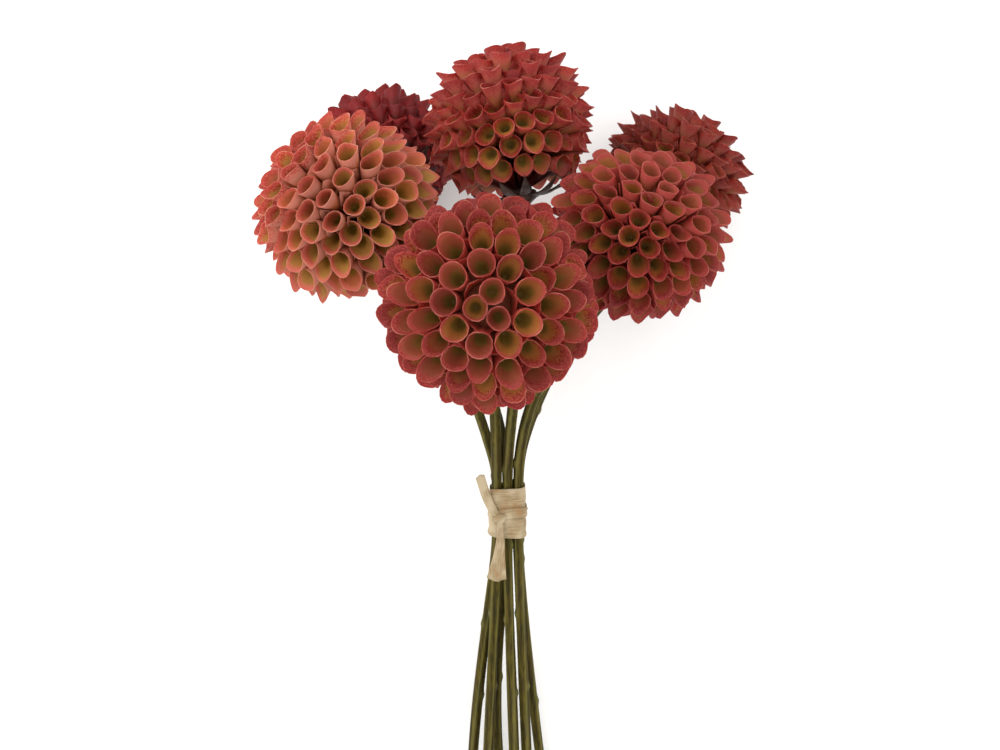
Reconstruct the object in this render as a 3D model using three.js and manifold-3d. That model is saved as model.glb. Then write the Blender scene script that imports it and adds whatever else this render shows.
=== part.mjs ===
// A tied bunch of six pompon dahlias, lying on its back on a table.
// Each bloom is a stack of moulded petal rows threaded on the peg of its receptacle,
// the receptacle sits on a stem, and one strip of raffia ties the six stems together.
// Millimetres. +Y runs from the cut stem ends to the blooms, +Z is up from the table.
import * as THREE from "three";
import { mergeVertices } from "three/addons/utils/BufferGeometryUtils.js";
import Module from "manifold-3d";

const wasm = await Module();
wasm.setup();

// Clearance between pieces that touch
const GAP = 0.3;

// Stems, and the two layers of three in which the raffia holds them
const STEM_RADIUS = 1.65;
const STEM_SIDES = 8;
const STEM_STEPS = 20;
const STEM_PITCH_X = 3.75;
const STEM_PITCH_Z = 3.75;
const HELD_LENGTH = 22;
const FOOT_TANGENT = 0.35;
const FOOT_LEAVE = 12;

// Raffia tie
const TIE_CENTRE = new THREE.Vector3(2.6, -47.8, 30);
const TIE_SLOPE = 0.155;
const TIE_LENGTH = 16.5;
const TIE_WALL = 0.7;
const TIE_CLEARANCE = 0.7;
const KNOT_PLACE = [-2.6, -1];
const KNOT_RADIUS = 2.4;
const KNOT_FLATNESS = 0.55;
const TAIL_THICKNESS = 0.6;

// Rows of petals in a bloom, counted from its pole, with angles in degrees
const ROWS = 9;
const CENTRE_ROWS = 3;
const FIRST_ROW_ANGLE = 8;
const ROW_STEP_ANGLE = 15.7;
const PETAL_PITCH = 0.275;

// Shape of a bloom, as shares of its radius
const RIM = 0.9;
const CROWN_FLATNESS = 0.88;
const LOWEST_SEAT = -0.8;
const SEAT_STEP = 0.095;
const CENTRE_SEAT = -0.2;
const CENTRE_SEAT_STEP = 0.12;
const CENTRE_CORE = 0.4;
const NECK_END = -1.03;
const CALYX_WIDEST = -0.88;
const CALYX_RADIUS = 0.2;
const SEPAL_REACH = 0.5;
const SEPAL_RISE = 0.03;

// Outer lip, floor and inner lip of a petal's cup, each as [along the petal, towards the pole] from the
// bloom's rim surface, in shares of the bloom's radius
const MIDDLE_OF_CUP = [
  [0.08, -0.066],
  [-0.2, 0],
  [-0.02, 0.07],
];
const MARGIN_OF_CUP = [
  [-0.03, -0.008],
  [-0.045, 0],
  [-0.03, 0.008],
];

// Parts of a bloom that don't grow with it
const PEG_RADIUS = 2.3;
const NECK_RADIUS = 2.4;
const THROAT_DEPTH = 1.6;
const SEPALS = 8;

// centre and pole place a bloom. place is its stem's column and layer in the tie, foot is the centre of
// the stem's cut end, bow is how far the stem is pushed sideways between the foot and the tie, and leave
// and neck say how far it runs on straight past the tie and below the bloom.
const BLOOMS = [
  {
    name: "front",
    colour: 0xa63a35,
    radius: 32,
    centre: [-3.5, 21, 110],
    pole: [0, -0.08, 1],
    place: [-1, 1],
    foot: [-6.5, -186, 9],
    bow: 0,
    leave: 20,
    neck: 24,
  },
  {
    name: "right",
    colour: 0x97413a,
    radius: 28.8,
    centre: [43.8, 45.4, 78],
    pole: [0.25, 0.62, 0.74],
    place: [1, 1],
    foot: [12, -189, 8],
    bow: 0,
    leave: 42,
    neck: 12,
  },
  {
    name: "right_back",
    colour: 0x8c4638,
    radius: 26.8,
    centre: [61.6, 70.6, 26.9],
    pole: [0.48, 0.86, 0.15],
    place: [1, -1],
    foot: [21, -184, STEM_RADIUS],
    bow: -2,
    leave: 32,
    neck: 10,
  },
  {
    name: "left",
    colour: 0xc06a5c,
    radius: 29.8,
    centre: [-49.2, 53.2, 80],
    pole: [-0.568, 0.472, 0.674],
    place: [-1, -1],
    foot: [-9, -188, STEM_RADIUS],
    bow: -9,
    leave: 10,
    neck: 18,
  },
  {
    name: "top",
    colour: 0x9f4239,
    radius: 28.3,
    centre: [2.6, 82.9, 60],
    pole: [-0.16, 0.985, -0.05],
    place: [0, 1],
    foot: [7, -190, 12],
    bow: 0,
    leave: 26,
    neck: 26,
  },
  {
    name: "left_back",
    colour: 0x7a2424,
    radius: 25.4,
    centre: [-41.8, 76.5, 23.4],
    pole: [-0.35, 0.5, -0.79],
    place: [0, -1],
    foot: [10, -185, STEM_RADIUS],
    bow: -17,
    leave: 30,
    neck: 8,
  },
];

function finish(colour, roughness) {
  return new THREE.MeshStandardMaterial({ color: colour, roughness, metalness: 0 });
}

const stemMaterial = finish(0x5c5a28, 0.55);
const calyxMaterial = finish(0x4c4f45, 0.5);
const raffiaMaterial = finish(0xdcc9a3, 0.85);

function piece(name, geometry, material) {
  const mesh = new THREE.Mesh(geometry, material);
  mesh.name = name;
  return mesh;
}

// A mesh geometry as a solid that can be joined to others.
function solidOf(geometry) {
  const bare = geometry.index ? geometry.toNonIndexed() : geometry.clone();
  bare.deleteAttribute("normal");
  bare.deleteAttribute("uv");
  const merged = mergeVertices(bare, 1e-4);
  return new wasm.Manifold(
    new wasm.Mesh({
      numProp: 3,
      vertProperties: merged.attributes.position.array,
      triVerts: new Uint32Array(merged.index.array),
    }),
  );
}

// Several overlapping geometries as one.
function joined(geometries) {
  const mesh = geometries
    .map(solidOf)
    .reduce((whole, next) => whole.add(next))
    .getMesh();
  return new THREE.BufferGeometry()
    .setAttribute("position", new THREE.BufferAttribute(mesh.vertProperties, 3))
    .setIndex(new THREE.BufferAttribute(mesh.triVerts, 1));
}

function rowAngle(row) {
  return THREE.MathUtils.degToRad(FIRST_ROW_ANGLE + row * ROW_STEP_ANGLE);
}

// As many petals as fit round the bloom at the row's angle from the pole.
function petalsInRow(row) {
  return Math.round((2 * Math.PI * Math.sin(rowAngle(row))) / PETAL_PITCH);
}

// Where the row meets the bloom's rim surface, as (distance from the axis, height). The surface is a
// sphere that is a little flattened on the side of the pole.
function rimPoint(row, radius) {
  const angle = rowAngle(row);
  const flatness = angle < Math.PI / 2 ? CROWN_FLATNESS : 1;
  return new THREE.Vector2(
    RIM * radius * Math.sin(angle),
    RIM * radius * flatness * Math.cos(angle),
  );
}

// One row of petals: a ring of quills that are joined at the bore and open into cups at the rim.
// A lathe gives the ring, two columns to a petal. At the rim one of them is the petal's middle, where the
// outer lip goes out and back, the inner lip stays short and the cup sinks in between. The other is the
// margin it shares with its neighbour, where both lips close. A row with no bore is closed at the axis by
// a shallow throat.
function petalRow(row, radius, seat, bore) {
  const rim = rimPoint(row, radius);
  const base = new THREE.Vector2(bore, seat);
  const throat = bore > 0 ? base : new THREE.Vector2(0, seat + THROAT_DEPTH);
  const profile = [base, rim, rim, rim, throat];
  const geometry = new THREE.LatheGeometry(profile, 2 * petalsInRow(row));
  const along = rim.clone().sub(base).normalize();
  const poleward = new THREE.Vector2(-along.y, along.x);
  const position = geometry.getAttribute("position");
  const rings = profile.length;
  for (let column = 0; column < position.count / rings; column++) {
    const cup = column % 2 === 0 ? MIDDLE_OF_CUP : MARGIN_OF_CUP;
    cup.forEach(([out, up], k) => {
      const i = column * rings + 1 + k;
      const point = rim
        .clone()
        .addScaledVector(along, out * radius)
        .addScaledVector(poleward, up * radius);
      const spread = point.x / rim.x;
      position.setXYZ(i, position.getX(i) * spread, point.y, position.getZ(i) * spread);
    });
  }
  return geometry;
}

// A row that opens below the middle of the bloom and is threaded on the peg.
function outerRow(row, radius) {
  const seat = (LOWEST_SEAT + SEAT_STEP * (ROWS - 1 - row)) * radius;
  return petalRow(row, radius, seat, PEG_RADIUS + GAP);
}

// The closed middle of the bloom: its innermost rows moulded on one core that caps the peg.
function petalCentre(radius) {
  const height = CENTRE_CORE * radius;
  const bottom = CENTRE_SEAT * radius;
  const core = new THREE.CylinderGeometry(PEG_RADIUS, PEG_RADIUS, height, 6);
  core.translate(0, bottom + height / 2, 0);
  const pieces = [core];
  for (let row = 0; row < CENTRE_ROWS; row++) {
    const seat = bottom + CENTRE_SEAT_STEP * radius * (CENTRE_ROWS - 1 - row);
    pieces.push(petalRow(row, radius, seat, 0));
  }
  return joined(pieces);
}

// The receptacle: neck, calyx with a star of sepals, and the peg that carries the petal rows. Every other
// column of the sepal ring is drawn in to the calyx, which leaves the tips of the star.
function receptacle(radius) {
  const calyx = CALYX_WIDEST + SEPAL_RISE;
  const profile = [
    [0, NECK_END * radius],
    [NECK_RADIUS, NECK_END * radius],
    [CALYX_RADIUS * radius, CALYX_WIDEST * radius],
    [SEPAL_REACH * radius, calyx * radius],
    [(CALYX_RADIUS - SEPAL_RISE) * radius, (calyx + SEPAL_RISE) * radius],
    [PEG_RADIUS, LOWEST_SEAT * radius - GAP],
    [PEG_RADIUS, CENTRE_SEAT * radius - THROAT_DEPTH],
    [0, CENTRE_SEAT * radius - GAP],
  ].map(([r, y]) => new THREE.Vector2(r, y));
  const sepalRing = 3;
  const geometry = new THREE.LatheGeometry(profile, 2 * SEPALS);
  const position = geometry.getAttribute("position");
  const columns = position.count / profile.length;
  const notch = CALYX_RADIUS / SEPAL_REACH;
  for (let column = 1; column < columns; column += 2) {
    const i = column * profile.length + sepalRing;
    position.setX(i, position.getX(i) * notch);
    position.setZ(i, position.getZ(i) * notch);
  }
  return geometry;
}

// One bloom in its own frame, with its pole along +Y and its centre at the origin.
function bloomGroup(bloom) {
  const petals = finish(bloom.colour, 0.5);
  const group = new THREE.Group();
  group.add(piece(`${bloom.name}_receptacle`, receptacle(bloom.radius), calyxMaterial));
  group.add(piece(`${bloom.name}_petal_centre`, petalCentre(bloom.radius), petals));
  for (let row = CENTRE_ROWS; row < ROWS; row++) {
    const name = `${bloom.name}_petal_row_${row - CENTRE_ROWS + 1}`;
    group.add(piece(name, outerRow(row, bloom.radius), petals));
  }
  group.position.set(...bloom.centre);
  group.quaternion.setFromUnitVectors(
    new THREE.Vector3(0, 1, 0),
    new THREE.Vector3(...bloom.pole).normalize(),
  );
  return group;
}

// A stem's centre line: from its foot to the tie, straight through the tie, and round to its bloom.
function stemPath(bloom) {
  const held = new THREE.Vector3(0, 1, TIE_SLOPE).normalize();
  const pole = new THREE.Vector3(...bloom.pole).normalize();
  const foot = new THREE.Vector3(...bloom.foot);
  const [column, layer] = bloom.place;
  const middle = TIE_CENTRE.clone();
  middle.x += column * STEM_PITCH_X;
  middle.z += (layer * STEM_PITCH_Z) / 2;
  const below = middle.clone().addScaledVector(held, -HELD_LENGTH / 2);
  const above = middle.clone().addScaledVector(held, HELD_LENGTH / 2);
  const top = new THREE.Vector3(...bloom.centre).addScaledVector(
    pole,
    NECK_END * bloom.radius - GAP,
  );
  const path = new THREE.CurvePath();
  path.add(
    new THREE.CubicBezierCurve3(
      foot,
      foot.clone().lerp(below, FOOT_TANGENT).add(new THREE.Vector3(bloom.bow, 0, 0)),
      below.clone().addScaledVector(held, -FOOT_LEAVE),
      below,
    ),
  );
  path.add(new THREE.LineCurve3(below, above));
  path.add(
    new THREE.CubicBezierCurve3(
      above,
      above.clone().addScaledVector(held, bloom.leave),
      top.clone().addScaledVector(pole, -bloom.neck),
      top,
    ),
  );
  return path;
}

function stem(bloom) {
  const corners = Array.from({ length: STEM_SIDES }, (_, side) => {
    const angle = (side / STEM_SIDES) * 2 * Math.PI;
    return new THREE.Vector2(STEM_RADIUS * Math.cos(angle), STEM_RADIUS * Math.sin(angle));
  });
  return new THREE.ExtrudeGeometry(new THREE.Shape(corners), {
    steps: STEM_STEPS,
    extrudePath: stemPath(bloom),
    bevelEnabled: false,
  });
}

// A rounded rectangle round the bundle of stems, at a distance from their surfaces.
function bundleOutline(target, clearance) {
  const corner = STEM_RADIUS + clearance;
  const halfX = STEM_PITCH_X;
  const halfZ = STEM_PITCH_Z / 2;
  target.absarc(halfX, halfZ, corner, 0, Math.PI / 2);
  target.absarc(-halfX, halfZ, corner, Math.PI / 2, Math.PI);
  target.absarc(-halfX, -halfZ, corner, Math.PI, 1.5 * Math.PI);
  target.absarc(halfX, -halfZ, corner, 1.5 * Math.PI, 2 * Math.PI);
  return target;
}

// A flat strip from a start to an end width, lying in the XY plane and running along +Y.
function tail(startWidth, endWidth, length) {
  const outline = new THREE.Shape();
  outline.moveTo(-startWidth / 2, 0);
  outline.lineTo(startWidth / 2, 0);
  outline.lineTo(endWidth / 2, length);
  outline.lineTo(-endWidth / 2, length);
  return new THREE.ExtrudeGeometry(outline, { depth: TAIL_THICKNESS, bevelEnabled: false });
}

// The raffia tie in its own frame, with +Y along the stems and +Z out of the front of the bundle:
// the turns round the stems, the knot, a short tail that stands up and a long one that hangs down.
function raffiaTie() {
  const front = STEM_PITCH_Z / 2 + STEM_RADIUS + TIE_CLEARANCE + TIE_WALL;
  const wrap = bundleOutline(new THREE.Shape(), TIE_CLEARANCE + TIE_WALL);
  wrap.holes.push(bundleOutline(new THREE.Path(), TIE_CLEARANCE));
  const turns = new THREE.ExtrudeGeometry(wrap, {
    depth: TIE_LENGTH,
    bevelEnabled: false,
    curveSegments: 4,
  });
  turns.rotateX(Math.PI / 2).translate(0, TIE_LENGTH / 2, 0);
  const knot = new THREE.SphereGeometry(KNOT_RADIUS, 10, 6);
  knot.scale(1, 1, KNOT_FLATNESS).translate(...KNOT_PLACE, front);
  const standing = tail(2.4, 3.4, 15);
  standing.rotateX(0.12).rotateZ(0.42).translate(...KNOT_PLACE, front);
  const hanging = tail(2.6, 6.6, 23);
  hanging.rotateX(-0.03).rotateZ(Math.PI).translate(...KNOT_PLACE, front);
  return joined([turns, knot, standing, hanging]);
}

const bunch = new THREE.Group();
for (const bloom of BLOOMS) {
  bunch.add(bloomGroup(bloom));
  bunch.add(piece(`${bloom.name}_stem`, stem(bloom), stemMaterial));
}
const tie = piece("raffia_tie", raffiaTie(), raffiaMaterial);
tie.position.copy(TIE_CENTRE);
tie.rotation.x = Math.atan(TIE_SLOPE);
bunch.add(tie);

// The origin is on the table, under the middle of the bunch.
bunch.updateMatrixWorld(true);
const bounds = new THREE.Box3().setFromObject(bunch, true);
const middle = bounds.getCenter(new THREE.Vector3());
bunch.position.set(-middle.x, -middle.y, -bounds.min.z);

const part = new THREE.Group();
part.add(bunch);
export default part;
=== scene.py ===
# %% [markdown]
# # A tied bunch of pompon dahlias
# Six round blooms on bare green stems, held together by one strip of raffia, lie on a white table. The
# blooms are artificial: each is a stack of moulded rings of quilled petals, threaded on a peg. The
# construction comes in ready made, with every piece in its place. This lesson gives each piece its surface.

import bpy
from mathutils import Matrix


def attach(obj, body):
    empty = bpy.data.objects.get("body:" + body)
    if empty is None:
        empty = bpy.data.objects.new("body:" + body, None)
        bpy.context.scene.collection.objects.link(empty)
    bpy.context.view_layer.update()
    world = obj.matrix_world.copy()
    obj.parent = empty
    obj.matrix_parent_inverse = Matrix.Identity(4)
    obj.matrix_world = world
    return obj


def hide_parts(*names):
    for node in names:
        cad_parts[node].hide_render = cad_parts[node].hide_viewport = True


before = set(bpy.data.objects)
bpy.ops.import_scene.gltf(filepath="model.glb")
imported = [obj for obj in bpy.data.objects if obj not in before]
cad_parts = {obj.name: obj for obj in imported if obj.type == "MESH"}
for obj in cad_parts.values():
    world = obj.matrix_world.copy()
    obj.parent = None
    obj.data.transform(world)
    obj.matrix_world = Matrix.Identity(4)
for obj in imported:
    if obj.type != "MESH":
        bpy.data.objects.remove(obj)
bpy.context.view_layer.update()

# %% [markdown]
# ## Tools for numbers and meshes
# Shapes are worked out with numpy in metres, and a length in millimetres is written as a number times MM.
# Two helpers come up all through the lesson. One makes vectors a unit long. The other reads the corners of a
# piece of the construction, because the blooms, their calyxes and the stems take their place and size from
# the pieces they replace.

# %% Tools for numbers and meshes
import math

import bpy
import numpy as np
from mathutils import Vector

MM = 0.001


def unit(v):
    """A vector, or each vector of an array, divided by its length."""
    v = np.asarray(v, float)
    return v / np.linalg.norm(v, axis=-1, keepdims=True)


def node_points(name):
    """The distinct corners of a construction node, in metres."""
    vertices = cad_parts[name].data.vertices
    flat = np.empty(3 * len(vertices), np.float32)
    vertices.foreach_get("co", flat)
    return np.unique(flat.reshape(-1, 3).round(5), axis=0).astype(float)


print(len(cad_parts), "pieces in the construction")

# %% [markdown]
# ## Where each bloom sits
# A bloom has a pole, the direction its youngest petals point in, a centre and a radius. None of the three is
# typed in here. Every ring of petals is the same all the way round, so the mean of its corners lies on the
# bloom's axis, and so does the mean of the receptacle's corners. The line through the two is the pole, and
# the receptacle's length along it, which is a fixed share of the radius, gives the size.

# %% Measure the blooms
BLOOM_NAMES = ("front", "right", "right_back", "left", "top", "left_back")

# The two ends of a receptacle, as heights above the bloom's centre in radii, and the gap over its peg.
NECK_END = -1.03
PEG_TOP = -0.2
CAP_GAP = 0.3 * MM

# A direction that no bloom's pole points in.
ASKEW = (0.3, -0.2, 0.9)


class Bloom:
    """A bloom's name, centre, pole, radius, and two directions square to the pole."""

    def __init__(self, name):
        seat = node_points(f"{name}_receptacle")
        ring = node_points(f"{name}_petal_row_1")
        self.name = name
        self.pole = unit(ring.mean(0) - seat.mean(0))
        heights = (seat - seat.mean(0)) @ self.pole
        self.radius = (heights.max() - heights.min() + CAP_GAP) / (PEG_TOP - NECK_END)
        neck = seat.mean(0) + heights.min() * self.pole
        self.centre = neck - NECK_END * self.radius * self.pole
        self.side = unit(np.cross(self.pole, ASKEW))
        self.front = np.cross(self.side, self.pole)

    def place(self, radial, height, turn, sideways=0.0):
        """Points at a distance from the axis, a height and a turn about it, with a step round the bloom."""
        out = np.cos(turn)[..., None] * self.side + np.sin(turn)[..., None] * self.front
        across = np.cross(self.pole, out)
        return (
            self.centre
            + radial[..., None] * out
            + height[..., None] * self.pole
            + np.asarray(sideways)[..., None] * across
        )


blooms = {name: Bloom(name) for name in BLOOM_NAMES}
for bloom in blooms.values():
    print(bloom.name, "radius", round(bloom.radius / MM, 2), "mm, pole", bloom.pole.round(3))

# %% [markdown]
# ## From arrays to a mesh
# Every new surface here is a grid of points: one parameter runs along the piece and the other round it.
# A grid is an array of shape (strips, rows, columns, 3). Neighbouring points become quads and the columns
# close on themselves. The rows either close on themselves too, as on a ring, or the first and the last row
# get one face each. Both ways the shell is sealed. Values that the material needs, such as how deep inside
# a petal a point lies, travel as attributes.

# %% Grid to mesh
def grid_faces(strips, rows, columns, looped):
    """Faces of the grid as corner numbers: the quads, and the end caps unless the rows are looped."""
    corner = np.arange(strips * rows * columns).reshape(strips, rows, columns)
    above = np.roll(corner, -1, axis=1) if looped else corner[:, 1:]
    below = corner[:, : above.shape[1]]
    quads = np.stack(
        [below, np.roll(below, -1, axis=2), np.roll(above, -1, axis=2), above], axis=-1
    )
    faces = quads.reshape(-1, 4).tolist()
    if not looped:
        faces += corner[:, 0, ::-1].tolist() + corner[:, -1].tolist()
    return faces


def make_piece(name, parts, material, slot, *nodes):
    """A smooth mesh in place of its nodes. A part is points, values for attributes, and looped or not."""
    flat = np.concatenate([points.reshape(-1, 3) for points, _, _ in parts])
    faces = []
    start = 0
    for points, _, looped in parts:
        faces += [[start + i for i in face] for face in grid_faces(*points.shape[:3], looped)]
        start += points.size // 3
    mesh = bpy.data.meshes.new(name)
    mesh.from_pydata(flat, [], faces)
    mesh.shade_smooth()
    for key in parts[0][1]:
        spread = [np.broadcast_to(values[key], points.shape[:3]).ravel() for points, values, _ in parts]
        layer = mesh.attributes.new(key, "FLOAT", "POINT")
        layer.data.foreach_set("value", np.concatenate(spread).astype(np.float32))
    mesh.materials.append(material)
    piece = bpy.data.objects.new(name, mesh)
    bpy.context.scene.collection.objects.link(piece)
    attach(piece, "root")
    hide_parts(*nodes)
    return piece


# %% [markdown]
# ## Shader sums in Python
# A material's colour is arithmetic on a few values: depth in the cup, a noise, a chance number per petal.
# Written as nodes, such sums are long, so a small class wraps a socket and turns +, -, * and / into the
# matching nodes. One more method adds any other node.

# %% A socket that can be calculated with
class Value:
    """An output socket of a material. Sums of plain values use Math, and of colours Vector Math."""

    def __init__(self, tree, socket):
        self.tree = tree
        self.socket = socket

    def node(self, kind, settings=(), inputs=(), output=0):
        """Adds a node: its type, its settings, its sockets' values or links, and which output to give."""
        node = self.tree.nodes.new(kind)
        for key, value in dict(settings).items():
            setattr(node, key, value)
        for key, value in dict(inputs).items():
            if isinstance(value, Value):
                self.tree.links.new(value.socket, node.inputs[key])
            else:
                node.inputs[key].default_value = value
        return Value(self.tree, node.outputs[output])

    def is_vector(self):
        """Whether the socket carries several numbers."""
        return self.socket.type in ("VECTOR", "RGBA")

    def sum(self, operation, first, second):
        """One Math or Vector Math node on two terms, each a Value, a number or three numbers."""
        terms = (first, second)
        vector = any(
            t.is_vector() if isinstance(t, Value) else isinstance(t, tuple) for t in terms
        )
        if not vector:
            return self.node("ShaderNodeMath", {"operation": operation}, enumerate(terms))
        spread = [(t, t, t) if isinstance(t, (int, float)) else t for t in terms]
        return self.node("ShaderNodeVectorMath", {"operation": operation}, enumerate(spread))

    def __add__(self, other):
        return self.sum("ADD", self, other)

    def __radd__(self, other):
        return self.sum("ADD", other, self)

    def __sub__(self, other):
        return self.sum("SUBTRACT", self, other)

    def __rsub__(self, other):
        return self.sum("SUBTRACT", other, self)

    def __mul__(self, other):
        return self.sum("MULTIPLY", self, other)

    def __rmul__(self, other):
        return self.sum("MULTIPLY", other, self)

    def __truediv__(self, other):
        return self.sum("DIVIDE", self, other)

    def __rtruediv__(self, other):
        return self.sum("DIVIDE", other, self)

    def __pow__(self, other):
        return self.sum("POWER", self, other)

    def between(self, low, high):
        """0 below low and 1 above high, eased in between; low may be the larger of the two."""
        settings = {"interpolation_type": "SMOOTHSTEP"}
        return self.node("ShaderNodeMapRange", settings, {0: self, 1: low, 2: high})

    def mix(self, first, second):
        """The first colour where this value is 0 and the second where it is 1."""
        settings = {"data_type": "RGBA", "clamp_factor": True}
        inputs = {0: self, 6: rgba(first), 7: rgba(second)}
        return self.node("ShaderNodeMix", settings, inputs, output=2)

    def noise(self, scale, detail=2.0, roughness=0.5, stretch=(1.0, 1.0, 1.0)):
        """Noise of this many lumps to the metre, read at this vector."""
        inputs = {"Vector": self * stretch, "Scale": scale, "Detail": detail, "Roughness": roughness}
        return self.node("ShaderNodeTexNoise", {}, inputs)


# %% [markdown]
# ## Starting a material
# Every finish starts from one Principled shader and the piece's own coordinates. A number that is the same
# all over the surface is set straight on the shader's socket. What varies is connected, and only to the
# colour, the roughness and, through a bump, the direction of the surface.

# %% Starting a material
def rgba(colour):
    """A Value as it is, or a #rrggbb text as four linear numbers."""
    if isinstance(colour, Value):
        return colour
    parts = np.array([int(colour[i : i + 2], 16) for i in (1, 3, 5)]) / 255
    linear = np.where(parts < 0.04045, parts / 12.92, ((parts + 0.055) / 1.055) ** 2.4)
    return (*linear.tolist(), 1.0)


def new_material(name, **constants):
    """A material with a Principled shader, and a Value to start its sums from: the Object coordinates."""
    material = bpy.data.materials.new(name)
    material.use_nodes = True
    shader = material.node_tree.nodes["Principled BSDF"]
    for key, value in constants.items():
        shader.inputs[key.replace("_", " ")].default_value = value
    start = Value(material.node_tree, None)
    place = start.node("ShaderNodeTexCoord", output="Object")
    return material, shader, place


def attribute(start, name):
    """A named attribute of the piece, as a plain value."""
    return start.node("ShaderNodeAttribute", {"attribute_name": name}, output="Fac")


def connect(value, socket):
    """Links a value to a socket of a shader."""
    value.tree.links.new(value.socket, socket)


def bump(height, strength, distance, shader):
    """Raises the surface by a height value, in metres at full strength."""
    inputs = {"Height": height, "Strength": strength, "Distance": distance}
    connect(height.node("ShaderNodeBump", {}, inputs), shader.inputs["Normal"])


# %% [markdown]
# ## The colours of the petals
# The petals are cast in a soft, slightly see-through plastic and sprayed red from one side. Each bloom has
# nine colours. Lip is the darkest blot of the spray, red is the mist round it, and edge is a painted
# highlight, a thin pale line where light catches the lip. Inside, a cup starts with a blush below the lip,
# goes on with an ochre glow or with the duller flesh, and ends in an olive throat. Outside, it goes from
# back through flesh to stalk.

# %% Petal colours
PETALS = {
    "front": {
        "lip": "#740e0d",
        "red": "#9e281e",
        "blush": "#80332a",
        "glow": "#905c28",
        "flesh": "#823f27",
        "throat": "#715620",
        "back": "#8e3027",
        "stalk": "#673118",
        "edge": "#ae6455",
    },
    "right": {
        "lip": "#701213",
        "red": "#952820",
        "blush": "#8f322a",
        "glow": "#8d5624",
        "flesh": "#863f27",
        "throat": "#7b5a28",
        "back": "#8f2e26",
        "stalk": "#6e2a1d",
        "edge": "#a5564a",
    },
    "right_back": {
        "lip": "#6a1310",
        "red": "#852418",
        "blush": "#812f20",
        "glow": "#805120",
        "flesh": "#773b20",
        "throat": "#5c4617",
        "back": "#802b1d",
        "stalk": "#632818",
        "edge": "#99503c",
    },
    "left": {
        "lip": "#972519",
        "red": "#b23827",
        "blush": "#b05342",
        "glow": "#a17536",
        "flesh": "#a55935",
        "throat": "#85621f",
        "back": "#b06b57",
        "stalk": "#9d6e43",
        "edge": "#c6856f",
    },
    "top": {
        "lip": "#7e1614",
        "red": "#9c2a20",
        "blush": "#97392d",
        "glow": "#936328",
        "flesh": "#8d4b28",
        "throat": "#735923",
        "back": "#98382b",
        "stalk": "#671e16",
        "edge": "#bd7260",
    },
    # The dark bloom at the back: a deep crimson of its own, with every colour darkened further as painted
    # shade, since it lies in shade behind the left bloom.
    "left_back": {
        "lip": "#690d0e",
        "red": "#831010",
        "blush": "#821514",
        "glow": "#712f14",
        "flesh": "#6b1912",
        "throat": "#46220e",
        "back": "#7d1214",
        "stalk": "#51130e",
        "edge": "#8a2e28",
    },
}

# %% [markdown]
# ## The finish of a petal
# Attributes say where on a petal a point lies: depth is 0 at the lip and 1 at the base, and inner is 1 in
# the cup and 0 outside it. Tone and hue are two chance numbers of each petal, and spray is the red on it.
# Mixing the colours by these values suits hundreds of petals, where a painted picture would suit one. Two
# noises blur the borders and break the spray up into specks. All six blooms share the recipe.

# %% Petal finish
SPECKS = 1700
CLOUDS = 230


def petal_finish(name, lip, red, blush, glow, flesh, throat, back, stalk, edge):
    """Cup colours by depth, a paler outside, a blotchy sprayed lip and a thin light edge that is a painted
    highlight.
    """
    material, shader, place = new_material(
        name,
        Subsurface_Weight=0.15,
        Subsurface_Radius=(1.0, 0.45, 0.25),
        Subsurface_Scale=2 * MM,
        Specular_IOR_Level=0.25,
    )
    depth = attribute(place, "depth")
    inner = attribute(place, "inner")
    tone = attribute(place, "tone")
    hue = attribute(place, "hue")
    spray = attribute(place, "spray")
    cloud = place.noise(CLOUDS, 3.0)
    speck = place.noise(SPECKS, 4.0, 0.7)
    worn = depth + 0.1 * (cloud - 0.5) + 0.06 * (tone - 0.5)
    bowl = hue.between(0.75, 0.3).mix(flesh, glow)
    inside = worn.between(0.02, 0.1).mix(blush, bowl)
    inside = worn.between(0.13, 0.22).mix(inside, throat)
    outside = worn.between(0.06, 0.24).mix(back, flesh)
    outside = worn.between(0.25, 0.5).mix(outside, stalk)
    skin = inner.mix(outside, inside)
    caught = (worn + 0.08 * (hue - 0.5)).between(0.15, 0.0) * spray
    skin = (caught * 0.85).mix(skin, red)
    blots = (speck + 0.16 * caught).between(0.53, 0.6) * caught.between(0.03, 0.35)
    skin = (blots * 0.85).mix(skin, lip)
    # Painted highlight: a thin pale line of the edge colour along each lip, broken into patches by the
    # cloud.
    rim = depth.between(0.006, 0.0005) * (0.05 + 0.65 * cloud.between(0.45, 0.65))
    skin = rim.mix(skin, edge)
    light = 0.8 + 0.3 * tone
    connect(skin * light, shader.inputs["Base Color"])
    connect(0.45 + 0.22 * cloud, shader.inputs["Roughness"])
    bump(speck + 1.5 * cloud, 0.3, 0.25 * MM, shader)
    return material


petal_materials = {name: petal_finish(f"petals_{name}", **c) for name, c in PETALS.items()}
print(len(petal_materials), "petal finishes")

# %% [markdown]
# ## The rows of a bloom
# Nine rows of petals open between the pole and the stem. Within a row all petals have the same plan, and
# chance shifts each one a little: round the bloom, up or down, longer or shorter, wider or narrower. The row
# itself waves up and down on its way round, as a soft ring does on its peg. A bloom of identical cups in
# level rows looks machined.

# %% Rows of a bloom
ROWS = 9
CENTRE_ROWS = 3

# Where the lips lie: the rows' angles from the pole, and distances in radii of the bloom.
FIRST_ROW = math.radians(8)
ROW_STEP = math.radians(15.7)
PETAL_PITCH = 0.275
RIM = 0.9
CROWN_FLATNESS = 0.88

# Where the petals sit on the peg: heights in radii of the bloom.
LOWEST_SEAT = -0.8
SEAT_STEP = 0.095
CENTRE_SEAT_STEP = 0.12
PEG_RADIUS = 2.3 * MM

# How a petal ends: leaning this far towards the pole, and with an inner lip that is shorter by this share.
LEAN = math.radians(10)
LIP_RISE = 0.15

# A cup's width as a share of its room in the row, and the most it may be taller than wide.
CUP_WIDTH = 0.98
CUP_TALLNESS = 1.05

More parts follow.
